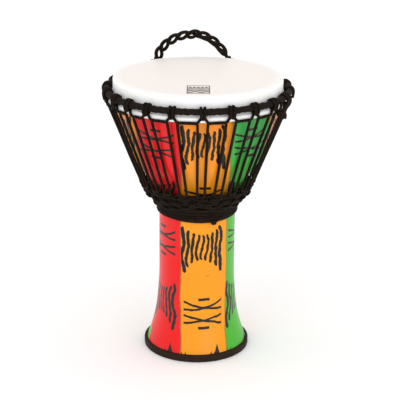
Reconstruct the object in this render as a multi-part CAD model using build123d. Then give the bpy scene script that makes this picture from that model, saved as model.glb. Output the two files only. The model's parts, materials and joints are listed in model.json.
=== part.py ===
from build123d import *
import math
import os

# Rope-tuned djembe, standing on its rubber foot. Millimetres.
# The origin is on the drum's axis at the floor, +Z up, and -Y is the front.
# The carry handle stands at the back, at +Y.

# Overall sizes
head_diameter = 228.6
playing_height = 388.5
stem_radius = 52.3
stem_top = 199.0
stem_bottom = 118.0
foot_radius = 71.4
shell_wall = 4.5

# The goblet's curve. The neck's points are (out from the stem, up from its top), the
# bowl's are (share of the way from neck to rim, out from the straight line between
# them), and the flare's are (out from the stem, height)
rim_depth = 26.0
rim_round = 2.7
rim_inner_round = 1.5
foot_slope = 0.26
neck_steps = [(10.2, 40.0), (2.1, 18.0)]
bowl_swell = [(0.7404, 5.866), (0.3336, 9.053)]
flare_steps = [(1.3, 86.0), (4.7, 54.0), (10.4, 30.0)]

# Head: film, and the steel hoop folded into its edge
film_thickness = 0.6
film_corner = 3.2
hoop_rod = 3.5
hoop_drop = 29.0

# Rope and rings
rope = 1.8
rope_gap = 0.1
soft_gap = 0.3
rod_gap = 0.05
crown_rod = 2.5
crown_wrap = 1.5
crown_rise = 11.2
waist_rod = 2.0
waist_wrap = 1.0
waist_height = 231.0
hitches = 22
crown_spread = 7.6
crown_link_spread = 7.0
crown_link_out = 2.3
crown_link_drop = -1.2
waist_spread = 3.8
waist_link_spread = 3.5
waist_link_out = 9.9
waist_link_rise = 7.3
winding_turns = 7
winding_bottom = 203.0

# Tension runs: half the angle between the two ropes of a hitch at each end,
# how far they tuck under the hoop at the top, and where they turn at the bottom
tension_top_angle = 3.0
tension_waist_angle = 3.7
tension_tuck = 1.3
tension_turn_out = 2.2
tension_turn_rise = 3.9

# Rubber foot ring
rubber_height = 10.0
rubber_wall = 2.0
rubber_floor = 2.5
rubber_lip_height = 7.0
rubber_round = 1.6

# Carry handle
handle_gap_number = 1.5
handle_rise = 36.5
handle_lean = 12.0
handle_width = 12.4
handle_thickness = 9.0
eye_radius = 5.0
eye_length = 9.0
pin_half_span = 8.4
pin_bend = 3.2

# Knots
crown_tie_angle = 54.0
crown_tie_radius = 4.6
crown_tie_length = 13.0
waist_tie_angle = 20.0
waist_tie_radius = 3.6
waist_tie_length = 10.0
knot_rounding = 0.4

# Worked out from the sizes above
head_radius = head_diameter / 2
rim_radius = head_radius - film_thickness - rope_gap
rim_top = playing_height - film_thickness
neck_points = [(stem_radius + out, stem_top + up) for out, up in neck_steps]
flare_points = [(stem_radius + out, height) for out, height in flare_steps]
bowl_top = rim_top - rim_depth
hoop_height = playing_height - hoop_drop
hoop_radius = head_radius + hoop_rod
hoop_outer = hoop_rod + film_thickness
crown_tube = crown_rod + crown_wrap
crown_radius = head_radius + 2 * rope + 4 * rope_gap + crown_tube
crown_height = hoop_height + crown_rise
waist_tube = waist_rod + waist_wrap
pitch = 360 / hitches
foot_bottom = rubber_floor


def polar(radius, angle, height):
    """A point at an angle in degrees from the front, growing towards +X."""
    turn = math.radians(angle)
    return Vector(radius * math.sin(turn), -radius * math.cos(turn), height)


def revolved(profile):
    """A solid of revolution from a (radius, height) face."""
    return revolve(Plane.XZ * profile, Axis.Z)


def bend_radii(points):
    """As large an arc at each corner as its two runs allow."""
    radii = []
    for before, corner, after in zip(points, points[1:], points[2:]):
        first = corner - before
        second = after - corner
        half_turn = math.radians(first.get_angle(second)) / 2
        shorter = min(first.length, second.length)
        radii.append(0.45 * shorter / math.tan(half_turn))
    return radii


def rope_along(points, section_radius=rope):
    """A round rope along straight runs joined by tangent arcs."""
    path = FilletPolyline(*points, radius=bend_radii(points))
    section = Plane(origin=path @ 0, z_dir=path % 0) * Circle(section_radius)
    return sweep(section, path=path)


def inward(curve, distance):
    """The curve moved towards the axis by the wall, end tangents kept."""
    points = []
    for step in range(9):
        place = step / 8
        tangent = curve % place
        normal = Vector(tangent.Y, -tangent.X)
        points.append((curve @ place) + normal * distance)
    return Spline(*points, tangents=[curve % 0, curve % 1])


# Shell: outer curves from the rim down to the foot
neck_radius, neck_height = neck_points[0]
bowl_points = []
for share, swell in bowl_swell:
    line_radius = neck_radius + share * (rim_radius - neck_radius)
    bowl_points.append((line_radius + swell, neck_height + share * (bowl_top - neck_height)))
bowl = Spline(
    (rim_radius, bowl_top),
    *bowl_points,
    *neck_points,
    (stem_radius, stem_top),
    tangents=[(0, -1), (0, -1)],
)
flare = Spline(
    (stem_radius, stem_bottom),
    *flare_points,
    (foot_radius, foot_bottom),
    tangents=[(0, -1), (foot_slope, -1)],
)


def shell_radius(height):
    """The shell's outer radius where a level line meets the bowl."""
    level = Line((0, height), (2 * head_radius, height))
    return bowl.intersect(level).vertices()[0].X


def shell_profile():
    inner_bowl = inward(bowl, shell_wall)
    inner_flare = inward(flare, shell_wall)
    outline = [
        Line((rim_radius, rim_top), (rim_radius, bowl_top)),
        bowl,
        Line(bowl @ 1, flare @ 0),
        flare,
        Line(flare @ 1, inner_flare @ 1),
        inner_flare,
        Line(inner_flare @ 0, inner_bowl @ 1),
        inner_bowl,
        Line(inner_bowl @ 0, (rim_radius - shell_wall, rim_top)),
        Line((rim_radius - shell_wall, rim_top), (rim_radius, rim_top)),
    ]
    face = make_face(outline)
    rim_corners = face.vertices().group_by(Axis.Y)[-1].sort_by(Axis.X)
    face = fillet(rim_corners[-1], rim_round)
    inner_corner = face.vertices().group_by(Axis.Y)[-1].sort_by(Axis.X)[0]
    return fillet(inner_corner, rim_inner_round)


def foot_rubber_profile(shell_face):
    """A channel pressed over the shell's foot edge, resting on the floor."""
    outer = foot_radius + rubber_wall
    inner = (inward(flare, shell_wall) @ 1).X - rubber_wall
    middle = foot_radius - shell_wall / 2
    outside = Pos((middle + outer) / 2, rubber_height / 2) * Rectangle(outer - middle, rubber_height)
    lip = Pos((middle + inner) / 2, rubber_lip_height / 2) * Rectangle(
        middle - inner, rubber_lip_height
    )
    channel = outside + lip
    outer_corners = channel.vertices().sort_by(Axis.X)[-2:]
    return fillet(outer_corners, rubber_round) - shell_face


def head_profile():
    """Flat film, collar and the fold that wraps the flesh hoop."""
    half = head_radius / 2
    collar = playing_height - hoop_height
    cap = Pos(half, playing_height - collar / 2) * Rectangle(head_radius, collar)
    cap = fillet(cap.vertices().sort_by(Axis.X)[-2:].sort_by(Axis.Y)[-1], film_corner)
    inside_radius = head_radius - film_thickness
    inside = Pos(inside_radius / 2, playing_height - film_thickness - collar / 2) * Rectangle(
        inside_radius, collar
    )
    corner = inside.vertices().sort_by(Axis.X)[-2:].sort_by(Axis.Y)[-1]
    inside = fillet(corner, film_corner - film_thickness)
    fold = Pos(hoop_radius, hoop_height) * (Circle(hoop_outer) - Circle(hoop_rod + rod_gap))
    return (cap - inside) + fold


def hitch_route(ring_radius, ring_height, tube, start, turns, spread, link, link_spread):
    """One hitch: in from the left link, round the ring, out to the right link.

    The angle round the ring's own tube is 0 outwards and 90 at the top; start is
    where the rope meets it.
    """
    reach = (tube + rope + rope_gap) / math.cos(math.radians(30))
    steps = 6 * turns
    half_pitch = pitch / 2
    link_radius, link_height = link
    link_angle = math.degrees(link_spread / link_radius)
    middle = link_radius * math.cos(math.radians(half_pitch - link_angle))
    points = [
        polar(middle, -half_pitch, link_height),
        polar(link_radius, -link_angle, link_height),
    ]
    for step in range(steps + 1):
        around = math.radians(start + 60 * step)
        radius = ring_radius + reach * math.cos(around)
        height = ring_height + reach * math.sin(around)
        across = spread * (step / steps - 0.5)
        points.append(polar(radius, math.degrees(across / ring_radius), height))
    points.append(polar(link_radius, link_angle, link_height))
    points.append(polar(middle, half_pitch, link_height))
    return points


def all_round(piece, phase=0):
    """The piece repeated once for each hitch, as separate solids."""
    return [Rot(0, 0, phase + pitch * number) * piece for number in range(hitches)]


def tension_route():
    """Down from the crown, across on the waist links and up again."""
    top_radius = hoop_radius + hoop_outer - tension_tuck
    top_height = hoop_height - hoop_outer - rope + rope_gap
    half_pitch = pitch / 2
    top_middle = top_radius * math.cos(math.radians(half_pitch - tension_top_angle))
    turn_radius = waist_link[0] + tension_turn_out
    down = [
        polar(top_middle, half_pitch, top_height),
        polar(top_radius, tension_top_angle, top_height),
        polar(turn_radius, tension_waist_angle, waist_link[1] + tension_turn_rise),
    ]
    up = [Vector(-p.X, p.Y, p.Z) for p in reversed(down)]
    return down + up


def ring(radius, height, section_radius):
    return Pos(0, 0, height) * Torus(radius, section_radius)


def winding():
    """Spare rope wound round the neck, one turn on the next."""
    step = 2 * rope + rope_gap / 2
    turns = []
    for number in range(winding_turns):
        height = winding_bottom + step * number
        seat = max(shell_radius(height + rope), stem_radius)
        turns.append(ring(seat + rope + rope_gap, height, rope))
    return turns


# Places that follow the shell
seat_radius = shell_radius(waist_height + waist_tube / 2)
waist_radius = seat_radius + 2 * rope + waist_tube + 4 * rope_gap
shell_face = shell_profile()
crown_link = (hoop_radius + hoop_outer + crown_link_out, hoop_height - hoop_outer - crown_link_drop)
waist_link = (waist_radius + waist_link_out, waist_height + waist_link_rise)

# Carry handle: its eyes turn on the lashings' rope pins, midway between hitches
handle_half_span = crown_radius * math.sin(math.radians(handle_gap_number * pitch))
pin_y = math.sqrt(crown_radius**2 - handle_half_span**2)
lashing_reach = crown_tube + rope + rope_gap
pin_height = crown_height + lashing_reach + rope + soft_gap + eye_radius
handle_plane = Plane(
    origin=(0, pin_y, pin_height),
    x_dir=(1, 0, 0),
    z_dir=(0, -math.cos(math.radians(handle_lean)), math.sin(math.radians(handle_lean))),
)


def handle():
    """A braided arch with an eye at each end, made as one half and its mirror."""
    arch = ThreePointArc((-handle_half_span, 0), (0, handle_rise), (handle_half_span, 0))
    path = handle_plane * arch.trim(0.5, 1)
    start = Plane(origin=path @ 0, x_dir=handle_plane.z_dir, z_dir=path % 0)
    half = sweep(start * Ellipse(handle_thickness / 2, handle_width / 2), path=path)
    eye_place = Pos(handle_half_span, pin_y, pin_height) * Rot(0, 90, 0)
    half += eye_place * Cylinder(eye_radius, eye_length)
    half -= eye_place * Cylinder(rope + soft_gap, 3 * eye_length)
    return half + mirror(half, Plane.YZ)


def lashing(side):
    """Two turns round the crown ring, and the rope pin between them."""
    feet = []
    solid = None
    for offset in (-pin_half_span, pin_half_span):
        x = side * handle_half_span + offset
        ring_y = math.sqrt(crown_radius**2 - x**2)
        angle = math.degrees(math.atan2(x, ring_y))
        turn = Pos(x, ring_y, crown_height) * Rot(0, 0, -angle) * Rot(0, 90, 0)
        loop = turn * Torus(lashing_reach, rope)
        solid = loop if solid is None else solid + loop
        away = (pin_y - ring_y) * ring_y / crown_radius
        feet.append((x, pin_y, crown_height + math.sqrt(lashing_reach**2 - away**2)))
    left, right = feet
    corners = [left, (left[0], pin_y, pin_height), (right[0], pin_y, pin_height), right]
    path = FilletPolyline(*corners, radius=pin_bend)
    section = Plane(origin=path @ 0, z_dir=path % 0) * Circle(rope)
    return solid + sweep(section, path=path)


def knot(radius, length, centre_radius, angle, height, upright):
    """A wrapped knot as a round-ended barrel."""
    barrel = Cylinder(radius, length)
    barrel = fillet(barrel.edges().filter_by(GeomType.CIRCLE), radius * knot_rounding)
    if not upright:
        barrel = Rot(0, 90, 0) * barrel
    return Pos(*polar(centre_radius, angle, height)) * Rot(0, 0, angle) * barrel


crown_hitch = rope_along(
    hitch_route(
        crown_radius, crown_height, crown_tube, -30, 2, crown_spread, crown_link, crown_link_spread
    )
)
waist_hitch = rope_along(
    hitch_route(
        waist_radius, waist_height, waist_tube, 30, 1, waist_spread, waist_link, waist_link_spread
    )
)
tie_radius = crown_link[0] + rope + rope_gap + crown_tie_radius
waist_tie_seat = stem_radius + waist_tie_radius + rope_gap
waist_tie_height = winding_bottom - rope - waist_tie_radius - rope_gap

nodes = {
    "shell": revolved(shell_face),
    "foot_rubber": revolved(foot_rubber_profile(shell_face)),
    "head_film": revolved(head_profile()),
    "flesh_hoop": ring(hoop_radius, hoop_height, hoop_rod),
    "crown_ring": ring(crown_radius, crown_height, crown_rod),
    "crown_ring_wrap": ring(crown_radius, crown_height, crown_tube)
    - ring(crown_radius, crown_height, crown_rod + rod_gap),
    "crown_loops": all_round(crown_hitch),
    "tension_rope": all_round(rope_along(tension_route())),
    "waist_ring": ring(waist_radius, waist_height, waist_rod),
    "waist_ring_wrap": ring(waist_radius, waist_height, waist_tube)
    - ring(waist_radius, waist_height, waist_rod + rod_gap),
    "waist_loops": all_round(waist_hitch, pitch / 2),
    "waist_winding": winding(),
    "crown_tie": knot(
        crown_tie_radius, crown_tie_length, tie_radius, crown_tie_angle, crown_link[1], True
    ),
    "waist_tie": knot(
        waist_tie_radius, waist_tie_length, waist_tie_seat, waist_tie_angle, waist_tie_height, False
    ),
    "handle_braid": handle(),
    "handle_lashing_left": lashing(-1),
    "handle_lashing_right": lashing(1),
}

os.makedirs("parts", exist_ok=True)
for name, piece in nodes.items():
    solid = Compound(children=piece) if isinstance(piece, list) else piece
    export_step(solid, f"parts/{name}.step")
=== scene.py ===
import json
import math
import random

import bpy
from mathutils import Matrix, Vector


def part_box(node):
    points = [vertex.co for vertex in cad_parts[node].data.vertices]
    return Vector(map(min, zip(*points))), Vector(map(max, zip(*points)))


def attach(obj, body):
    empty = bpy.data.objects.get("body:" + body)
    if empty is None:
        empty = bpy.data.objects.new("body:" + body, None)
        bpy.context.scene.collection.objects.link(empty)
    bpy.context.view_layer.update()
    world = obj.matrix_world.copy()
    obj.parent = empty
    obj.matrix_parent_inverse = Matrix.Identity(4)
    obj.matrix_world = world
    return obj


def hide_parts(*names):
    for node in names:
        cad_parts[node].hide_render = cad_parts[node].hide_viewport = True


bl_info = {
    "name": "Rope-tuned djembe",
    "version": (1, 0, 0),
    "blender": (4, 5, 0),
    "location": "View3D > Sidebar > Djembe",
    "description": "Builds a small rope-tuned djembe over its CAD frame",
    "category": "Object",
}

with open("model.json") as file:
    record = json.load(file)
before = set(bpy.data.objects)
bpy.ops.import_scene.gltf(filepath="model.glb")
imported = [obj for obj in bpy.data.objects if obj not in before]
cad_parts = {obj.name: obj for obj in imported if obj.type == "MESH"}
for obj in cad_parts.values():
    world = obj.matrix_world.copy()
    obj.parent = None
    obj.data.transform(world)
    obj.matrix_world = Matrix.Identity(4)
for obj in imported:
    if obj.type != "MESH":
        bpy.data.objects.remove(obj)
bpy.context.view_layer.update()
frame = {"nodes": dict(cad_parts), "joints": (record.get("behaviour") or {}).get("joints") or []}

# The maker's sizes are in millimetres; Blender's are in metres.
MM = 0.001
HITCHES = 22
PITCH = 360 / HITCHES
# Radius of a rope in the CAD frame, whose boxes end that far from its middle line
CAD_ROPE = 1.8


class Ring:
    """A round tube bent into a ring, read from its CAD node's box, in millimetres."""

    def __init__(self, node):
        low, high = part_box(node)
        self.tube = (high[2] - low[2]) / 2 / MM
        self.height = (high[2] + low[2]) / 2 / MM
        self.radius = high[0] / MM - self.tube


CROWN = Ring("crown_ring_wrap")
WAIST = Ring("waist_ring_wrap")
PLAYING_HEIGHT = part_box("head_film")[1][2] / MM
# A link joins one hitch to the next, and a turn is the foot of a pair of tension ropes
LINK_RADIUS = 124.2
LINK_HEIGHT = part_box("crown_loops")[0][2] / MM + CAD_ROPE
TURN_RADIUS = 78.9
TURN_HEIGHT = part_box("tension_rope")[0][2] / MM + CAD_ROPE
WAIST_LINK_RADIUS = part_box("waist_loops")[1][0] / MM - CAD_ROPE
WAIST_LINK_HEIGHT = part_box("waist_loops")[1][2] / MM - CAD_ROPE
WINDING_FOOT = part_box("waist_winding")[0][2] / MM + CAD_ROPE
HINGE = [value / MM for value in frame["joints"][0]["pos_m"]]
HANDLE_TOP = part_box("handle_braid")[1][2] / MM

# Hitches are tied by hand, so each stands a little off its even place: the front ones
# by these degrees, numbered from the one at the middle, and the others at random.
HITCH_OFFSETS = {-4: 1.5, -3: -1.2, -2: -3.2, -1: -3.2, 0: -1.1, 1: 0.0, 2: -0.5, 3: -1.1, 4: -2.0}


# ---------------------------------------------------------------- settings


class DjembeSizes(bpy.types.PropertyGroup):
    rope: bpy.props.FloatProperty(
        name="Rope", description="Radius of the lacing rope", default=0.0019, unit="LENGTH"
    )
    handle_rope: bpy.props.FloatProperty(
        name="Handle rope",
        description="Radius of the rope braided into the handle",
        default=0.0025,
        unit="LENGTH",
    )
    eye_rope: bpy.props.FloatProperty(
        name="Eye rope",
        description="Radius of the rope in the handle's eyes",
        default=0.0020,
        unit="LENGTH",
    )
    braid: bpy.props.FloatProperty(
        name="Braid pitch",
        description="Length of one diamond of the rope's braid",
        default=0.0032,
        unit="LENGTH",
    )
    band: bpy.props.FloatProperty(
        name="Colour band",
        description="Width of one colour band round the shell",
        default=0.068,
        unit="LENGTH",
    )
    handle_links: bpy.props.IntProperty(
        name="Handle links", description="Links of the chain braid in the carry handle", default=9, min=4
    )
    camera_turn: bpy.props.FloatProperty(
        name="Camera turn",
        description="How far the camera stands round from the front",
        default=math.radians(-4.1),
        subtype="ANGLE",
    )


def colour(name, description, red, green, blue):
    """A colour setting, given as a screen shows it, in 0 to 255."""
    linear = [
        value / 255 / 12.92 if value <= 10 else ((value / 255 + 0.055) / 1.055) ** 2.4
        for value in (red, green, blue)
    ]
    return bpy.props.FloatVectorProperty(
        name=name, description=description, default=linear, subtype="COLOR", min=0, max=1
    )


class DjembeColours(bpy.types.PropertyGroup):
    red: colour("Red", "Red bands of the shell", 232, 0, 4)
    orange: colour("Orange", "Orange bands of the shell", 240, 150, 0)
    green: colour("Green", "Green bands of the shell", 66, 174, 34)
    ink: colour("Ink", "Brush figures on the shell", 12, 11, 14)
    rope: colour("Rope", "Black braided rope", 34, 23, 13)
    tape: colour("Tape", "Tape wound on the rings", 30, 18, 11)
    film: colour("Film", "Drum head film", 244, 236, 230)
    print: colour("Head print", "Printed motif on the drum head", 78, 62, 42)
    rubber: colour("Rubber", "Foot ring", 38, 22, 10)
    inside: colour("Shell inside", "Unprinted moulding inside the shell", 46, 44, 43)
    steel: colour("Steel", "Rods inside the tape", 170, 168, 164)


def sizes():
    return bpy.context.scene.djembe_sizes


def colours():
    return bpy.context.scene.djembe_colours


# ---------------------------------------------------------------- materials


class Field:
    """A number that varies over a surface, kept as the output of a node."""

    def __init__(self, tree, socket):
        self.tree = tree
        self.socket = socket

    def maths(self, operation, *others, clamp=False):
        node = self.tree.nodes.new("ShaderNodeMath")
        node.operation = operation
        node.use_clamp = clamp
        for slot, value in zip(node.inputs, (self, *others)):
            if isinstance(value, Field):
                self.tree.links.new(value.socket, slot)
            else:
                slot.default_value = value
        return Field(self.tree, node.outputs[0])

    def __add__(self, other):
        return self.maths("ADD", other)

    def __sub__(self, other):
        return self.maths("SUBTRACT", other)

    def __mul__(self, other):
        return self.maths("MULTIPLY", other)

    def __truediv__(self, other):
        return self.maths("DIVIDE", other)

    def __abs__(self):
        return self.maths("ABSOLUTE")

    def above(self, edge, softness=0.35):
        """1 where the number is above the edge, 0 below, blurred by the softness."""
        return ((self - edge) / softness).maths("ADD", 0.5, clamp=True)

    def below(self, edge, softness=0.35):
        return self.above(edge, softness).maths("MULTIPLY", -1).maths("ADD", 1)

    def either(self, other):
        return self.maths("MAXIMUM", other)

    def both(self, other):
        return self.maths("MULTIPLY", other)


class Finish:
    """A new material, and the few node moves that its finish is made from."""

    def __init__(self, name):
        self.material = bpy.data.materials.new(name)
        self.material.use_nodes = True
        self.tree = self.material.node_tree
        self.shader = self.tree.nodes["Principled BSDF"]

    def set(self, **values):
        for name, value in values.items():
            self.shader.inputs[name.replace("_", " ")].default_value = value

    def place(self):
        """Object coordinates in millimetres, as three fields and one socket."""
        where = self.tree.nodes.new("ShaderNodeTexCoord")
        scale = self.tree.nodes.new("ShaderNodeVectorMath")
        scale.operation = "SCALE"
        scale.inputs["Scale"].default_value = 1 / MM
        self.tree.links.new(where.outputs["Object"], scale.inputs[0])
        split = self.tree.nodes.new("ShaderNodeSeparateXYZ")
        self.tree.links.new(scale.outputs[0], split.inputs[0])
        return [Field(self.tree, out) for out in split.outputs], scale.outputs[0]

    def along(self):
        """The rope's own coordinates: round it, and along it in braid diamonds."""
        node = self.tree.nodes.new("ShaderNodeUVMap")
        node.uv_map = "UVMap"
        split = self.tree.nodes.new("ShaderNodeSeparateXYZ")
        self.tree.links.new(node.outputs[0], split.inputs[0])
        return Field(self.tree, split.outputs[0]), Field(self.tree, split.outputs[1])

    def combine(self, *parts):
        node = self.tree.nodes.new("ShaderNodeCombineXYZ")
        for slot, part in zip(node.inputs, parts):
            if isinstance(part, Field):
                self.tree.links.new(part.socket, slot)
            else:
                slot.default_value = part
        return node.outputs[0]

    def noise(self, vector, scale, detail=3.0):
        """Cloudy noise from 0 to 1, with features about 1 / scale across."""
        node = self.tree.nodes.new("ShaderNodeTexNoise")
        node.inputs["Scale"].default_value = scale
        node.inputs["Detail"].default_value = detail
        self.tree.links.new(vector, node.inputs["Vector"])
        return Field(self.tree, node.outputs[0])

    def mix(self, amount, first, second):
        """Colour that goes from first to second as the amount goes from 0 to 1."""
        node = self.tree.nodes.new("ShaderNodeMix")
        node.data_type = "RGBA"
        for slot, value in zip((0, 6, 7), (amount, first, second)):
            if isinstance(value, Field):
                self.tree.links.new(value.socket, node.inputs[slot])
            elif slot == 0:
                node.inputs[slot].default_value = value
            else:
                node.inputs[slot].default_value = (*value, 1)
        return Field(self.tree, node.outputs[2])

    def range(self, value, low, high):
        """The value, from 0 to 1, spread between low and high."""
        return value * (high - low) + low

    def colour(self, field):
        self.tree.links.new(field.socket, self.shader.inputs["Base Color"])

    def roughness(self, field):
        self.tree.links.new(field.socket, self.shader.inputs["Roughness"])

    def bump(self, height, distance, strength=1.0):
        node = self.tree.nodes.new("ShaderNodeBump")
        node.inputs["Distance"].default_value = distance * MM
        node.inputs["Strength"].default_value = strength
        self.tree.links.new(height.socket, node.inputs["Height"])
        self.tree.links.new(node.outputs[0], self.shader.inputs["Normal"])


def shade(tint, amount):
    """A tint made darker, or lighter where the amount is over 1."""
    return [min(1.0, value * amount) for value in tint]


def rope_finish():
    """Black braided polyester rope: diamonds of yarn, with painted shade in the recesses between them, and in
    random patches of wear a painted brown highlight on the crowns.
    """
    finish = Finish("black_rope")
    tint = list(colours().rope)
    around, along = finish.along()
    rising = ((around * 4 + along) * math.pi).maths("SINE")
    falling = ((around * 4 - along) * math.pi).maths("SINE")
    diamond = abs(rising * falling)
    _, where = finish.place()
    fuzz = finish.noise(where, 0.9, 4.0)
    wear_and_highlight = finish.noise(where, 0.06, 2.0)
    # Painted shade and highlight: the recesses between the diamonds are darker, the crowns lighter
    crown = (diamond * 0.7 + fuzz * 0.5).maths("SUBTRACT", 0.1, clamp=True)
    shaded_recesses = finish.mix(crown, shade(tint, 0.35), tint)
    # In random patches, partly wear, the crowns take a painted brown highlight
    lit_brown_crowns = finish.mix(crown, shade(tint, 0.5), shade(tint, 2.3))
    finish.colour(finish.mix(wear_and_highlight.above(0.5, 0.5), shaded_recesses, lit_brown_crowns))
    finish.roughness(finish.range(fuzz, 0.62, 0.9))
    finish.bump(diamond + fuzz * 0.4, 0.35)
    finish.set(Specular_IOR_Level=0.14)
    return finish.material


def tape_finish():
    """Cloth tape wound round a ring, each turn lapping the last."""
    finish = Finish("ring_tape")
    tint = list(colours().tape)
    _, where = finish.place()
    weave = finish.noise(where, 1.4, 2.0)
    worn = finish.noise(where, 0.12, 3.0)
    finish.colour(finish.mix(worn.above(0.52, 0.4).both(weave), shade(tint, 0.6), shade(tint, 1.5)))
    finish.roughness(finish.range(weave, 0.6, 0.85))
    finish.bump(weave, 0.4)
    finish.set(Specular_IOR_Level=0.12)
    return finish.material


def film_finish():
    """Matte coated polyester film, very slightly mottled, with faint creases on its collar, a painted
    highlight round the edge of its top, and its collar painted near white to lift the shade on it.
    """
    finish = Finish("drum_film")
    tint = list(colours().film)
    (x, y, z), where = finish.place()
    mottle = finish.noise(where, 0.02, 4.0)
    collar = z.below(PLAYING_HEIGHT - 1.5, 2.0)
    turn = x.maths("ARCTAN2", y)
    crease = finish.noise(finish.combine(turn * 9, z * 0.05, 0.0), 3.0, 3.0)
    # A painted highlight: the top goes whiter in a ring near its edge, all round
    edge = (x * x + y * y).maths("SQRT").above(107.0, 12.0)
    top = finish.mix(edge * 0.5, finish.mix(mottle, shade(tint, 0.97), tint), [1.0, 0.99, 0.97])
    # The collar is painted near white, to lift the shade that falls on it
    film_with_painted_light = finish.mix(collar, top, [1.0, 1.0, 0.99])
    worn = finish.noise(where, 0.8, 3.0)
    printed = head_print(x, y, z).both(worn * 0.3 + 0.8)
    finish.colour(finish.mix(printed, film_with_painted_light, list(colours().print)))
    finish.roughness(finish.range(mottle, 0.42, 0.55))
    finish.bump(finish.noise(where, 1.2, 4.0) * 0.15 + collar.both(crease), 0.5, 0.6)
    finish.set(Specular_IOR_Level=0.4)
    return finish.material


def head_print(x, y, z):
    """A small printed panel near the front edge: a frame, a row of triangles and three waves."""
    aside = sizes().camera_turn
    across = x * math.cos(aside) + y * math.sin(aside) - 0.5
    away = y * math.cos(aside) - x * math.sin(aside) + 77.0
    panel = abs(across).below(15.0, 0.4).both(abs(away).below(21.5, 0.4))
    hollow = abs(across).below(13.4, 0.4).both(abs(away).below(18.8, 0.4))
    zigzag = abs((across / 5.2).maths("FRACT") - 0.5) * 13.0
    triangles = (zigzag + 1.0).above(away - 8.5, 0.5).both(away.above(7.0, 0.4))
    rows = abs(((away + (across * 0.42).maths("SINE") * 2.2) / 8.6).maths("FRACT") - 0.5)
    waves = rows.below(0.34, 0.05).both(away.below(5.5, 0.4)).both(away.above(-17.0, 0.4))
    mark = (panel - hollow).either(hollow.both(triangles.either(waves)))
    return mark.both(z.above(PLAYING_HEIGHT - 0.5, 0.2))


def rubber_finish():
    """Dark rubber, scuffed paler in patches."""
    finish = Finish("foot_rubber")
    tint = list(colours().rubber)
    _, where = finish.place()
    grain = finish.noise(where, 0.7, 5.0)
    scuff = finish.noise(where, 0.09, 4.0)
    finish.colour(finish.mix(scuff.above(0.5, 0.6), shade(tint, 0.75), shade(tint, 1.3)))
    finish.roughness(finish.range(grain, 0.6, 0.85))
    finish.bump(grain, 0.15)
    finish.set(Specular_IOR_Level=0.2)
    return finish.material


def steel_finish():
    """Cold-drawn steel rod, with faint marks along it."""
    finish = Finish("ring_steel")
    (x, y, z), _ = finish.place()
    turn = x.maths("ARCTAN2", y)
    drawn = finish.noise(finish.combine(turn * 2, z * 3, 0.0), 4.0, 3.0)
    finish.colour(finish.mix(drawn, shade(list(colours().steel), 0.8), list(colours().steel)))
    finish.roughness(finish.range(drawn, 0.25, 0.42))
    finish.set(Metallic=1.0)
    return finish.material


# The print's rows of figures: the heights between rows, and each figure's middle in its row
ROW_EDGES = (276.0, 200.0, 115.0)
STRIPE_ROWS = (321.0, 232.0, 161.5, 76.0)
CROSS_ROWS = (318.0, 232.0, 163.5, 65.6)
# From the front, round the shell, to the middle of band number 0
BAND_MIDDLE = 11.5
STROKE_PITCH = 6.7


def row_centre(height, rows):
    """Height above the middle of the row of figures that a point lies in."""
    centre = height * 0 + rows[0]
    for above, below, edge in zip(rows, rows[1:], ROW_EDGES):
        centre = centre + height.below(edge, 0.001) * (below - above)
    return height - centre


def stripe_figure(finish, z, across, number):
    """Nine wavy strokes, the outer ones longest and thickest."""
    height = row_centre(z, STRIPE_ROWS)
    sway = (height * 0.13 + number * 2.0).maths("SINE") * 1.5
    slide = across - sway + 4.0
    stroke = (slide / STROKE_PITCH).maths("ROUND").maths("MAXIMUM", -4.0).maths("MINIMUM", 4.0)
    wander = finish.noise(finish.combine(stroke * 0.45 + 20.0, height * 0.11, number), 1.0, 1.0) - 0.5
    wiggle = (height * 0.19 + stroke * 1.3 + number).maths("SINE") * 0.8 + wander * 3.6
    brush = finish.noise(finish.combine(stroke * 7.3, height * 0.2, number), 1.0, 3.0)
    square = stroke * stroke
    half_width = brush * 2.6 + square * 0.055 + 0.5
    top = square * 0.7 + 19.0
    bottom = square * -1.25 - 18.5
    end_gap = (top - height).maths("MINIMUM", height - bottom)
    taper = (end_gap * 0.9).maths("MAXIMUM", 0.0).maths("MINIMUM", half_width)
    return abs(slide - stroke * STROKE_PITCH - wiggle).below(taper, 0.5).both(end_gap.above(0.3, 0.6))


def cross_figure(finish, z, arc, across, number):
    """Two open crosses between two dashes."""
    height = row_centre(z, CROSS_ROWS)
    reach = across + 2.0
    wave = (finish.noise(finish.combine(arc * 0.09, z * 0.03, number), 1.0, 2.0) - 0.5) * 3
    pen = finish.noise(finish.combine(arc * 0.2, z * 0.2, number), 1.0, 2.0) * 1.5 + 0.85
    upper = ((8.3, -0.2, 0.003), (7.4, 0.21, 0.0048))
    lower = ((-9.6, -0.24, 0.0), (-9.9, 0.17, 0.001))
    crosses = None
    for lift, slope, bend in upper + lower:
        line = reach * slope + reach * reach * bend + wave + lift
        mark = abs(height - line).below(pen, 0.5).both(abs(reach).below(27.5, 1.0))
        crosses = mark if crosses is None else crosses.either(mark)
    for lift in (20.0, -20.2):
        dash = abs(height - lift - wave * 0.4).below(pen + 0.4, 0.5).both(abs(reach - 1.0).below(8.0, 1.0))
        crosses = crosses.either(dash)
    return crosses


def foot_spikes(z, across):
    """Ragged spikes that rise from the foot."""
    left = ((-37.5, 16.0), (-32.0, 13.0), (-26.5, 13.5))
    right = ((10.0, 14.0), (14.5, 13.0), (18.5, 22.5))
    spikes = None
    for centre, height in left + right:
        peak = (abs(across - centre) * -3.2 + height).above(z, 0.8)
        spikes = peak if spikes is None else spikes.either(peak)
    return spikes


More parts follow.
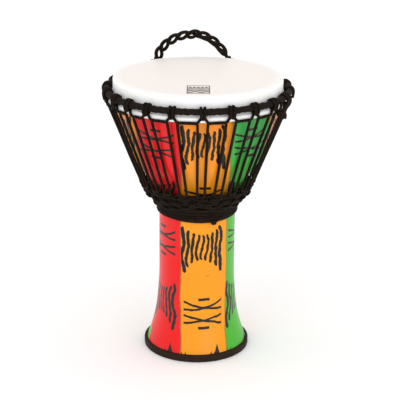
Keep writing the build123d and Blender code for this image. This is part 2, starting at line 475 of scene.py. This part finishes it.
def band_colours(finish, z, step, is_red, is_green):
    """The wavy bands, with a soft seam where two meet. Up the bowl the colours change, partly the print's own
    gradient and partly painted light and shade: orange and red painted brighter against the shade on the
    bowl, green painted darker for the shade under the head.
    """
    tints = colours()
    # Painted light and shade up the bowl: orange and red lighter to offset the shade under the head and
    # ropes, green darker for that shade
    depth = z.above(280, 100) * 0.7
    orange = finish.mix(depth, list(tints.orange), [1.0, 0.28, 0.012])
    red = finish.mix(depth, list(tints.red), [0.86, 0.006, 0.01])
    green = finish.mix(depth, list(tints.green), [0.03, 0.36, 0.075])
    bands = finish.mix(is_green, finish.mix(is_red, orange, red), green)
    seam = step.below(1.2, 1.5).either(step.above(sizes().band / MM - 1.2, 1.5))
    return finish.mix(seam * 0.6, bands, [0.2, 0.13, 0.02])


def shell_finish():
    """Printed film on the moulded shell: wavy colour bands, and two brush figures that alternate."""
    finish = Finish("printed_shell")
    tints = colours()
    band = sizes().band / MM
    (x, y, z), where = finish.place()
    radius = (x * x + y * y).maths("SQRT")
    turn = x.maths("ARCTAN2", y * -1) - sizes().camera_turn
    arc = turn * radius
    wander = finish.noise(finish.combine(0.0, z * 0.02, turn * 0.6), 1.0, 3.0) - 0.5
    rough = finish.noise(finish.combine(arc * 0.3, z * 0.5, 0.0), 1.0, 2.0) - 0.5
    ragged = arc + wander * 9 + rough * 1.2

    # Bands in the order orange, green, orange, red
    number = ((ragged - BAND_MIDDLE) / band).maths("ADD", 0.5).maths("FLOOR")
    step = ((ragged - BAND_MIDDLE) / band + 0.5).maths("FRACT") * band
    kind = number.maths("FLOORED_MODULO", 4.0)
    is_red = kind.above(2.5, 0.01)
    is_green = kind.above(0.5, 0.01).both(kind.below(1.5, 0.01))
    bands = band_colours(finish, z, step, is_red, is_green)
    patch = ragged.below(-88.0, 1.0).both(ragged.above(-124.0, 1.0)).both((z + wander * 20).below(27.0, 1.0))
    bands = finish.mix(patch, bands, list(tints.green))

    # Rows down the shell, and which figure falls where a row crosses a band
    row = sum((z.below(edge, 0.001) for edge in ROW_EDGES[1:]), z.below(ROW_EDGES[0], 0.001))
    odd = abs(number + row).maths("MODULO", 2.0).above(0.5, 0.01)
    across = arc - number * band - BAND_MIDDLE
    stripes = stripe_figure(finish, z, across, number)
    crosses = cross_figure(finish, z, arc, across, number)
    ink = finish.mix(odd, stripes, crosses).either(foot_spikes(z, across))
    figure = finish.mix(is_green, list(tints.ink), [0.018, 0.008, 0.006])
    figure = finish.mix(is_red, figure, [0.006, 0.014, 0.008])
    printed = finish.mix(ink, bands, figure)

    # One stray dash of red on the stem
    fleck_line = abs(z - (arc - 15.0) * 0.15 - 120.0).below(0.5, 0.4)
    fleck = abs(arc - 15.0).below(3.0, 0.5).both(fleck_line)
    printed = finish.mix(fleck * 0.7, printed, [0.35, 0.05, 0.02])

    # The unprinted inside faces the axis
    facing = finish.tree.nodes.new("ShaderNodeNewGeometry")
    split = finish.tree.nodes.new("ShaderNodeSeparateXYZ")
    finish.tree.links.new(facing.outputs["Normal"], split.inputs[0])
    outward = Field(finish.tree, split.outputs[0]) * x + Field(finish.tree, split.outputs[1]) * y
    inside = outward.below(0.0, 0.01)
    grain = finish.noise(where, 0.6, 3.0)
    finish.colour(finish.mix(inside, printed, list(tints.inside)))
    finish.roughness(finish.range(grain, 0.3, 0.42))
    finish.bump(grain * 0.4 + ink * 0.5, 0.08)
    finish.set(Specular_IOR_Level=0.28, Coat_Weight=0.15, Coat_Roughness=0.25)
    return finish.material


def give(node, material):
    """The CAD node's whole mesh takes this finish."""
    mesh = frame["nodes"][node].data
    mesh.materials.clear()
    mesh.materials.append(material)


# ---------------------------------------------------------------- pieces


def spot(radius, angle, height):
    """A place in millimetres, at an angle in degrees from the front that grows towards +X."""
    turn = math.radians(angle)
    return Vector((radius * math.sin(turn), -radius * math.cos(turn), height))


def on_ring(ring, middle, across, turn, reach):
    """A place beside a ring's rod: across it in millimetres from a middle angle, and round its tube."""
    around = math.radians(turn)
    radius = ring.radius + reach * math.cos(around)
    angle = middle + math.degrees(across / ring.radius)
    return spot(radius, angle, ring.height + reach * math.sin(around))


def beside(radius, middle, across, height):
    """A place across from a middle angle, in millimetres round the drum at that radius."""
    return spot(radius, middle + math.degrees(across / radius), height)


def mirrored(points, middle):
    """The same points, last first, on the other side of a middle angle."""
    turn = Matrix.Rotation(math.radians(middle), 3, "Z")
    back = turn.inverted()
    other_side = []
    for point in reversed(points):
        local = back @ point
        other_side.append(turn @ Vector((-local.x, local.y, local.z)))
    return other_side


def shell_radius(height):
    """The shell's outer radius at a height, in millimetres, met by a ray from in front of it."""
    start = Vector((0, -0.3, height * MM))
    hit, place, _, _ = frame["nodes"]["shell"].ray_cast(start, Vector((0, 1, 0)))
    if not hit:
        raise RuntimeError(f"no shell at height {height}")
    return -place.y / MM


def select_only(piece):
    bpy.ops.object.select_all(action="DESELECT")
    piece.select_set(True)
    bpy.context.view_layer.objects.active = piece


def settle(piece, node, body="drum"):
    """The piece stands for its CAD node and rides with its body."""
    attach(piece, body)
    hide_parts(node)
    return piece


def rope(name, routes, material, closed=False, radius=None):
    """Ropes whose centre lines run smoothly along these routes, as one mesh piece."""
    line = bpy.data.curves.new(name, "CURVE")
    line.dimensions = "3D"
    line.bevel_depth = radius or sizes().rope
    line.bevel_resolution = 3
    line.use_fill_caps = not closed
    line.resolution_u = 4
    for route in routes:
        spline = line.splines.new("NURBS")
        spline.points.add(len(route) - 1)
        for point, place in zip(spline.points, route):
            point.co = (*(place * MM), 1)
        spline.use_cyclic_u = closed
        spline.use_endpoint_u = not closed
        spline.order_u = 4
    # One count of diamonds serves all the piece's ropes, so it comes from their mean length
    length = sum(spline.calc_length() for spline in line.splines) / len(routes)
    piece = bpy.data.objects.new(name, line)
    bpy.context.collection.objects.link(piece)
    select_only(piece)
    bpy.ops.object.convert(target="MESH")
    piece = bpy.context.object
    bpy.ops.object.shade_smooth()
    diamonds = length / sizes().braid
    for corner in piece.data.uv_layers["UVMap"].uv:
        corner.vector.y *= diamonds
    piece.data.materials.append(material)
    return piece


def hitch_angles():
    """The angle of every crown hitch from the front, in order round the drum."""
    chance = random.Random(4)
    angles = []
    for number in range(HITCHES):
        signed = number if number < HITCHES / 2 else number - HITCHES
        offset = HITCH_OFFSETS.get(signed, chance.uniform(-0.5, 0.5))
        angles.append(number * PITCH + offset)
    return angles


def waist_angles(angles):
    """Where each hitch's ropes meet the waist, half as far off the even place as its hitch."""
    return [number * PITCH + (middle - number * PITCH) * 0.5 for number, middle in enumerate(angles)]


def neighbours(angles, number):
    """Angles halfway to the hitches on each side."""
    here = angles[number]
    before = angles[number - 1] - (360 if number == 0 else 0)
    after = angles[(number + 1) % len(angles)] + (360 if number == len(angles) - 1 else 0)
    return (before + here) / 2, (here + after) / 2


# ---------------------------------------------------------------- operators


class DJEMBE_OT_stage(bpy.types.Operator):
    """Pale floor, soft studio lights and the camera"""

    bl_idname = "djembe.stage"
    bl_label = "Stage"

    def execute(self, context):
        scene = context.scene
        scene.view_settings.view_transform = "Standard"
        world = bpy.data.worlds.new("studio")
        world.use_nodes = True
        world.node_tree.nodes["Background"].inputs[0].default_value = (1, 1, 1, 1)
        world.node_tree.nodes["Background"].inputs[1].default_value = 1.0
        scene.world = world

        bpy.ops.object.select_all(action="DESELECT")
        bpy.ops.mesh.primitive_plane_add(size=9)
        floor = context.object
        floor.name = "floor"
        finish = Finish("pale_floor")
        _, where = finish.place()
        finish.colour(finish.mix(finish.noise(where, 0.002), (0.98, 0.98, 0.98), (1.0, 1.0, 1.0)))
        finish.set(Roughness=0.9, Specular_IOR_Level=0.1, Emission_Color=(1, 1, 1, 1), Emission_Strength=0.03)
        floor.data.materials.append(finish.material)

        for name, place, size, power in (
            ("key", (-1.0, -1.7, 1.5), 1.4, 5),
            ("fill", (0.9, -1.9, 0.5), 1.4, 7),
            ("top", (0.1, 0.3, 2.4), 1.8, 1),
        ):
            bpy.ops.object.light_add(type="AREA", location=place)
            light = context.object
            light.name = name
            light.data.size = size
            light.data.energy = power
            light.rotation_euler = (Vector((0, 0, 0.2)) - Vector(place)).to_track_quat("-Z", "Y").to_euler()

        # The camera looks down at the drum, a touch to one side and with a touch of roll
        turn = sizes().camera_turn
        distance, height = 1.789, 0.824
        aside, down, roll = math.radians(0.125), math.radians(18.88), math.radians(0.47)
        bpy.ops.object.camera_add(location=(distance * math.sin(turn), -distance * math.cos(turn), height))
        camera = context.object
        camera.data.lens = 123.3
        camera.data.sensor_width = 36
        camera.rotation_euler = (
            Matrix.Rotation(turn - aside, 3, "Z")
            @ Matrix.Rotation(math.pi / 2 - down, 3, "X")
            @ Matrix.Rotation(roll, 3, "Z")
        ).to_euler()
        scene.camera = camera
        return {"FINISHED"}


class DJEMBE_OT_shell(bpy.types.Operator):
    """Printed finish on the moulded shell, rubber on its foot"""

    bl_idname = "djembe.shell"
    bl_label = "Shell and foot"

    def execute(self, context):
        give("shell", shell_finish())
        give("foot_rubber", rubber_finish())
        return {"FINISHED"}


class DJEMBE_OT_head(bpy.types.Operator):
    """Coated film finish on the head"""

    bl_idname = "djembe.head"
    bl_label = "Head"

    def execute(self, context):
        give("head_film", film_finish())
        return {"FINISHED"}


class DJEMBE_OT_crown_hitches(bpy.types.Operator):
    """Cow hitches round the crown ring, linked from one to the next"""

    bl_idname = "djembe.crown_hitches"
    bl_label = "Crown hitches"

    def execute(self, context):
        material = rope_finish()
        angles = hitch_angles()
        chance = random.Random(11)
        for number, middle in enumerate(angles):
            before, after = neighbours(angles, number)
            lift = chance.uniform(-0.2, 0.5)
            across = chance.uniform(-0.25, 0.25)
            left = [
                spot(LINK_RADIUS, before, LINK_HEIGHT),
                spot(LINK_RADIUS, (before * 2 + middle) / 3, LINK_HEIGHT - 0.3),
                beside(LINK_RADIUS, middle, -8.8, LINK_HEIGHT - 0.3),
                beside(LINK_RADIUS + 0.3, middle, -6.9, LINK_HEIGHT + 0.2),
                beside(LINK_RADIUS + 0.4, middle, -5.4, LINK_HEIGHT + 2.3),
                beside(LINK_RADIUS - 0.2, middle, -2.7, LINK_HEIGHT + 5.6),
                on_ring(CROWN, middle, -1.8, -90, 6.3),
                on_ring(CROWN, middle, -2.0, -140, 5.9),
                on_ring(CROWN, middle, -2.4 + across, 175, 5.9),
                on_ring(CROWN, middle, -2.6 + across, 130, 5.9),
                on_ring(CROWN, middle, -2.6 + across, 90, 5.8 + lift),
                on_ring(CROWN, middle, -2.4, 45, 5.9),
                on_ring(CROWN, middle, -2.2, 0, 6.2),
                on_ring(CROWN, middle, -2.3, -38, 7.2),
                on_ring(CROWN, middle, -1.9, -58, 9.2),
            ]
            route = left + [on_ring(CROWN, middle, 0, -59, 10.0)] + mirrored(left, middle)
            # The mirrored half ends halfway to the next hitch
            route[-1] = spot(LINK_RADIUS, after, LINK_HEIGHT)
            route[-2] = spot(LINK_RADIUS, (after * 2 + middle) / 3, LINK_HEIGHT - 0.3)
            settle(rope(f"crown_hitch_{number + 1:02d}", [route], material), "crown_loops")
        return {"FINISHED"}


class DJEMBE_OT_tension_ropes(bpy.types.Operator):
    """Taut pairs of rope from the crown links down to the waist"""

    bl_idname = "djembe.tension_ropes"
    bl_label = "Tension ropes"

    def execute(self, context):
        material = rope_finish()
        angles = hitch_angles()
        chance = random.Random(5)
        for number, (middle, low_middle) in enumerate(zip(angles, waist_angles(angles))):
            before, after = neighbours(angles, number)
            sides = []
            for side, between in ((-1, before), (1, after)):
                top = beside(LINK_RADIUS - 3.2, middle, side * 6.5, LINK_HEIGHT - 4.4)
                foot = beside(TURN_RADIUS, low_middle, side * 5.0, TURN_HEIGHT + 4.5)
                run = foot - top
                sides.append(
                    [
                        spot(LINK_RADIUS - 3.4, between, LINK_HEIGHT - 1.3),
                        beside(LINK_RADIUS - 3.3, middle, side * 9.4, LINK_HEIGHT - 1.2),
                        beside(LINK_RADIUS - 3.1, middle, side * 6.9, LINK_HEIGHT - 1.7),
                        top,
                        top + run * 0.06,
                        top + run * 0.35 + spot(chance.uniform(-0.4, 0.5), middle, 0),
                        top + run * 0.7 + spot(chance.uniform(-0.3, 0.5), middle, 0),
                        top + run * 0.94,
                        foot,
                        beside(TURN_RADIUS - 0.5, low_middle, side * 4.7, TURN_HEIGHT + 1.0),
                        beside(TURN_RADIUS - 1.0, low_middle, side * 2.6, TURN_HEIGHT - 0.2),
                    ]
                )
            left, right = sides
            settle(rope(f"tension_rope_{number + 1:02d}", [left + right[::-1]], material), "tension_rope")
        return {"FINISHED"}


class DJEMBE_OT_waist_hitches(bpy.types.Operator):
    """Hitches round the waist ring that the tension ropes turn on"""

    bl_idname = "djembe.waist_hitches"
    bl_label = "Waist hitches"

    def execute(self, context):
        material = rope_finish()
        lows = waist_angles(hitch_angles())
        chance = random.Random(7)
        for number, low in enumerate(lows):
            _, middle = neighbours(lows, number)
            following = lows[(number + 1) % HITCHES] + (360 if number == HITCHES - 1 else 0)
            lift = chance.uniform(-0.8, 0.9)
            out = chance.uniform(-0.5, 0.7)
            left = [
                spot(WAIST_LINK_RADIUS, low, WAIST_LINK_HEIGHT - 0.8),
                beside(WAIST_LINK_RADIUS, middle, -6.4, WAIST_LINK_HEIGHT - 0.3),
                beside(WAIST_LINK_RADIUS - 0.4, middle, -3.9, WAIST_LINK_HEIGHT + 0.4 + lift),
                beside(WAIST_LINK_RADIUS - 2.8, middle, -2.6, WAIST_LINK_HEIGHT - 1.2),
                on_ring(WAIST, middle, -2.0, 45, 5.6),
                on_ring(WAIST, middle, -2.1, 90, 5.6),
                on_ring(WAIST, middle, -2.4, 145, 5.6),
                on_ring(WAIST, middle, -2.6, 205, 5.6),
                on_ring(WAIST, middle, -2.6, 265, 5.6),
                on_ring(WAIST, middle, -2.5, 318, 6.2),
                on_ring(WAIST, middle, -1.9, 345, 6.3 + out),
            ]
            route = left + [on_ring(WAIST, middle, 0, 2, 7.0 + out)] + mirrored(left, middle)
            route[-1] = spot(WAIST_LINK_RADIUS, following, WAIST_LINK_HEIGHT - 0.8)
            settle(rope(f"waist_hitch_{number + 1:02d}", [route], material), "waist_loops")
        return {"FINISHED"}


def neat_turns(chance):
    """Six close turns up the neck, on the shell."""
    steps, turns, rise = 24, 6, 3.55
    route = []
    for step in range(turns * steps + 1):
        part = step / steps
        height = WINDING_FOOT + rise * part + 0.35 * math.sin(part * 2.3 * math.pi)
        slack = chance.uniform(-0.12, 0.3)
        radius = max(shell_radius(height - 1.5), shell_radius(height + 1.5)) + 2.0 + slack
        route.append(spot(radius, 24 + 360 * part, height + chance.uniform(-0.2, 0.2)))
    return route


def loose_turns(chance):
    """Seven uneven turns that weave over each other under the waist ring."""
    heights = (240.5, 235.0, 229.6, 226.2, 222.6, 219.2, 216.0)
    radii = (73.6, 71.2, 68.4, 66.0, 63.6, 61.8, 60.2)
    steps = 44
    routes = []
    for lane, (height, radius) in enumerate(zip(heights, radii)):
        route = []
        for step in range(steps):
            angle = step * 360 / steps
            weave = math.sin(math.radians(angle * 11) + lane * 2.1)
            wave = weave * 1.3 + chance.uniform(-1.4, 1.4)
            swell = chance.uniform(-1.0, 1.2) - 1.0 * weave
            route.append(spot(radius + swell, angle, height + wave))
        routes.append(route)
    return routes


def hanging_turns():
    """Three turns at the foot of the winding, each hanging a little lower at the front."""
    routes = []
    for sag, lean in ((0.0, 0), (1.5, -20), (3.6, 10)):
        route = []
        for angle in range(0, 360, 10):
            front = max(0.0, math.cos(math.radians(angle - lean)))
            height = WINDING_FOOT - sag * front * front
            route.append(spot(shell_radius(height) + 2.0 + 0.5 * front, angle, height))
        routes.append(route)
    return routes


class DJEMBE_OT_winding(bpy.types.Operator):
    """Spare rope wound round the neck, neat below and loose under the waist ring"""

    bl_idname = "djembe.winding"
    bl_label = "Neck winding"

    def execute(self, context):
        material = rope_finish()
        chance = random.Random(23)
        settle(rope("neck_winding", [neat_turns(chance)], material), "waist_winding")
        uneven = loose_turns(chance) + hanging_turns()
        settle(rope("neck_winding_loose", uneven, material, closed=True), "waist_winding")
        return {"FINISHED"}


def crown_tie_routes():
    """A rope wound over its own core, whose end goes up to the crown ring."""
    low, high = (Vector(corner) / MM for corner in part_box("crown_tie"))
    middle = (low + high) / 2
    outward = Vector((middle.x, middle.y, 0)).normalized()
    middle = middle - Vector((0, 0, 1.5))
    side = Vector((0, 0, 1)).cross(outward)
    middle = middle - side * 3.5
    axis = Vector((0, 0, 0.82)) - side * 0.57
    coil = []
    turns = 3.6
    steps = int(turns * 8)
    for step in range(steps + 1):
        part = step / steps
        turn = math.radians(360 * turns * part)
        bulge = 4.0 + 1.6 * math.sin(math.pi * part)
        coil.append(
            middle
            + outward * (bulge * math.cos(turn) - 0.6)
            + side * (bulge * math.sin(turn) + 1.2 * (part - 0.5))
            + axis * (part - 0.5) * 12.0
        )
    core = [middle - outward * 0.9 + axis * along for along in (-8.5, -4.0, 0.0, 4.0, 8.5)]
    end = [
        middle + side * 3.4 - outward * 2.0 + Vector((0, 0, 12.0)),
        middle + side * 5.5 - outward * 7.0 + Vector((0, 0, 17.5)),
    ]
    return [coil, core + end]


def waist_tie_route():
    """A knot at the front right of the neck, with an end out to each side."""
    low, high = (Vector(corner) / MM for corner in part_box("waist_tie"))
    middle = (low + high) / 2
    angle = math.degrees(math.atan2(middle.x, -middle.y))
    base = shell_radius(middle.z) + 2.1
    knot = []
    for step in range(19):
        turn = math.radians(step * 40)
        across = 3.4 * math.sin(turn) + (step - 9) * 0.25
        height = middle.z + 0.6 + 2.6 * math.cos(turn * 1.5)
        out = base + 1.9 + 1.7 * math.sin(turn * 1.5 + 0.8)
        knot.append(beside(out, angle, across, height))
    right = [
        beside(base + 0.4, angle, 17.0, middle.z + 7.5),
        beside(base + 1.0, angle, 10.0, middle.z + 4.6),
        beside(base + 1.4, angle, 5.0, middle.z + 1.5),
    ]
    left = [
        beside(base + 1.4, angle, -5.0, middle.z + 1.6),
        beside(base + 0.8, angle, -10.0, middle.z + 4.2),
        beside(base + 0.3, angle, -16.0, middle.z + 6.0),
    ]
    return right + knot + left


class DJEMBE_OT_ties(bpy.types.Operator):
    """The knot under the crown ring and the one that ends the winding"""

    bl_idname = "djembe.ties"
    bl_label = "Tie knots"

    def execute(self, context):
        material = rope_finish()
        settle(rope("crown_tie_knot", crown_tie_routes(), material), "crown_tie")
        settle(rope("waist_tie_knot", [waist_tie_route()], material), "waist_tie")
        return {"FINISHED"}


class DJEMBE_OT_handle(bpy.types.Operator):
    """Carry handle: one rope in a chain braid, twisted most of a quarter turn past its top"""

    bl_idname = "djembe.handle"
    bl_label = "Carry handle"

    def execute(self, context):
        material = rope_finish()
        lean = math.radians(12.0)
        up = Vector((0, math.sin(lean), math.cos(lean)))
        across = Vector((1, 0, 0))
        depth = across.cross(up)
        # The braid's middle line runs inside its CAD box, by this much at the sides and the top
        side_gap, top_gap = 5.8, 6.2
        half_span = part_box("handle_braid")[1][0] / MM - side_gap
        rise = (HANDLE_TOP - HINGE[2]) / math.cos(lean) - top_gap
        curve_radius = (half_span**2 + rise**2) / (2 * rise)
        half_turn = math.asin(half_span / curve_radius)
        centre = Vector(HINGE) + up * (rise - curve_radius)
        links = sizes().handle_links

        def place(part, lateral, outward):
            """Part of the way from the left end to the right, and how far off the middle line."""
            turn = half_turn * (2 * part - 1)
            out = across * math.sin(turn) + up * math.cos(turn)
            # The twist starts at the top and is complete a tenth of the way further
            ease = min(1.0, max(0.0, (part - 0.5) / 0.1))
            twist = math.radians(66) * ease * ease * (3 - 2 * ease)
            outward += 1.1
            offset = out * (outward * math.cos(twist) + lateral * math.sin(twist))
            offset += depth * (lateral * math.cos(twist) - outward * math.sin(twist))
            point = centre + out * curve_radius + offset
            # Above its feet the braid stands a little to the left
            height = (point - Vector(HINGE)).dot(up) / rise
            point.x -= 3.0 * min(1.0, max(0.0, height * 2.5))
            return point

        # One link: up the right arm, round the tip, down the left arm, along the back, each
        # point as its place in links, how far to the side and how far outwards
        link = (
            (0.12, 1.7, -1.2),
            (0.40, 3.7, 1.5),
            (0.80, 4.4, 2.6),
            (1.15, 3.8, 1.6),
            (1.38, 1.6, -0.6),
            (1.38, -1.6, -0.6),
            (1.15, -3.8, 1.6),
            (0.80, -4.4, 2.6),
            (0.40, -3.7, 1.5),
            (0.12, -1.7, -1.2),
            (0.06, -1.2, -3.6),
            (0.30, -0.4, -5.8),
            (0.62, 0.4, -6.3),
            (0.92, 1.2, -4.6),
        )
        route = [place(-0.01, 0.6, -1.0)]
        for number in range(links - 1):
            for forward, lateral, outward in link:
                route.append(place((number + 0.1 + forward) / links, lateral, outward))
        route.append(place((links - 0.6) / links, 1.6, 0.4))
        route.append(place(1.01, -0.6, -1.0))
        braid = rope("handle_braid_rope", [route], material, radius=sizes().handle_rope)
        settle(braid, "handle_braid", "handle")

        # Each end goes twice round its lashing
        reach = 4.15
        eyes = []
        for x in (end * half_span + offset for end in (-1, 1) for offset in (-1.8, 1.8)):
            eye = []
            for degrees in range(0, 360, 45):
                turn = math.radians(degrees)
                back, above = reach * math.cos(turn), reach * math.sin(turn)
                eye.append(Vector((x, HINGE[1] + back, HINGE[2] + above)))
            eyes.append(eye)
        pair = rope("handle_eyes", eyes, material, closed=True, radius=sizes().eye_rope)
        settle(pair, "handle_braid", "handle")
        return {"FINISHED"}


class DJEMBE_OT_lashings(bpy.types.Operator):
    """Rope lashings that hold the handle on the crown ring"""

    bl_idname = "djembe.lashings"
    bl_label = "Handle lashings"

    def execute(self, context):
        material = rope_finish()
        for node in ("handle_lashing_left", "handle_lashing_right"):
            low, high = (Vector(corner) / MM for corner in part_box(node))
            middle = (low.x + high.x) / 2
            half = 8.4
            wraps = []
            for x, outer in ((middle - half, -1), (middle + half, 1)):
                foot = math.degrees(math.atan2(x, -math.sqrt(CROWN.radius**2 - x * x)))
                wrap = []
                for step in range(9):
                    across = outer * (2.2 - 2.2 * step / 9)
                    wrap.append(on_ring(CROWN, foot, across, 90 + 60 * step, 6.8))
                wraps.append(wrap)
            # From the first foot's wraps up to the hinge line, along it, and down to the second's
            bridge = [
                Vector((middle - half, HINGE[1], HINGE[2] - 3.2)),
                Vector((middle - half + 0.6, HINGE[1], HINGE[2] - 0.2)),
                Vector((middle - half + 3.2, HINGE[1], HINGE[2])),
                Vector((middle, HINGE[1], HINGE[2])),
                Vector((middle + half - 3.2, HINGE[1], HINGE[2])),
                Vector((middle + half - 0.6, HINGE[1], HINGE[2] - 0.2)),
                Vector((middle + half, HINGE[1], HINGE[2] - 3.2)),
            ]
            route = wraps[0] + bridge + wraps[1][::-1]
            settle(rope(f"{node}_rope", [route], material), node)
        return {"FINISHED"}


class DJEMBE_OT_rings(bpy.types.Operator):
    """Steel rods, and the cloth tape wound on them in laps"""

    bl_idname = "djembe.rings"
    bl_label = "Rings"

    def execute(self, context):
        steel = steel_finish()
        for node in ("flesh_hoop", "crown_ring", "waist_ring"):
            give(node, steel)
        tape = tape_finish()
        for node, ring, turns in (("crown_ring_wrap", CROWN, 92), ("waist_ring_wrap", WAIST, 50)):
            bpy.ops.object.select_all(action="DESELECT")
            bpy.ops.mesh.primitive_torus_add(
                location=(0, 0, 0),
                major_segments=turns * 7,
                minor_segments=16,
                major_radius=ring.radius * MM,
                minor_radius=ring.tube * MM,
            )
            piece = context.object
            piece.name = f"{node}_tape"
            # Each lap rises from just inside the wrap's surface to stand on the one before
            chance = random.Random(turns)
            slack = [chance.uniform(-0.25, 0.3) for _ in range(turns + 2)]
            sunk, lap_rise = 0.15, 0.9
            for vertex in piece.data.vertices:
                flat = Vector((vertex.co.x, vertex.co.y, 0))
                rod = flat.normalized() * ring.radius * MM
                off = vertex.co - rod
                round_tube = math.atan2(off.z, flat.length - ring.radius * MM) / (2 * math.pi) + 0.5
                part = (math.atan2(flat.y, flat.x) / (2 * math.pi) + 0.5) * turns + round_tube
                lap = part - math.floor(part)
                reach = ring.tube - sunk + lap_rise * lap + slack[int(part) % turns]
                vertex.co = rod + off.normalized() * reach * MM + Vector((0, 0, ring.height * MM))
            select_only(piece)
            bpy.ops.object.shade_smooth()
            piece.data.materials.append(tape)
            settle(piece, node)
        return {"FINISHED"}


STEPS = (
    DJEMBE_OT_stage,
    DJEMBE_OT_shell,
    DJEMBE_OT_head,
    DJEMBE_OT_rings,
    DJEMBE_OT_crown_hitches,
    DJEMBE_OT_tension_ropes,
    DJEMBE_OT_waist_hitches,
    DJEMBE_OT_winding,
    DJEMBE_OT_ties,
    DJEMBE_OT_handle,
    DJEMBE_OT_lashings,
)


class DJEMBE_PT_panel(bpy.types.Panel):
    """Lists the steps in the order they are built"""

    bl_label = "Djembe"
    bl_idname = "DJEMBE_PT_panel"
    bl_space_type = "VIEW_3D"
    bl_region_type = "UI"
    bl_category = "Djembe"

    def draw(self, context):
        for group in (context.scene.djembe_sizes, context.scene.djembe_colours):
            for name in group.__annotations__:
                self.layout.prop(group, name)
        for step in STEPS:
            self.layout.operator(step.bl_idname)


CLASSES = (DjembeSizes, DjembeColours, *STEPS, DJEMBE_PT_panel)


def register():
    for item in CLASSES:
        bpy.utils.register_class(item)
    bpy.types.Scene.djembe_sizes = bpy.props.PointerProperty(type=DjembeSizes)
    bpy.types.Scene.djembe_colours = bpy.props.PointerProperty(type=DjembeColours)


def unregister():
    del bpy.types.Scene.djembe_colours
    del bpy.types.Scene.djembe_sizes
    for item in reversed(CLASSES):
        bpy.utils.unregister_class(item)


def main():
    register()
    for step in STEPS:
        group, name = step.bl_idname.split(".")
        getattr(getattr(bpy.ops, group), name)()


if __name__ == "__main__":
    main()
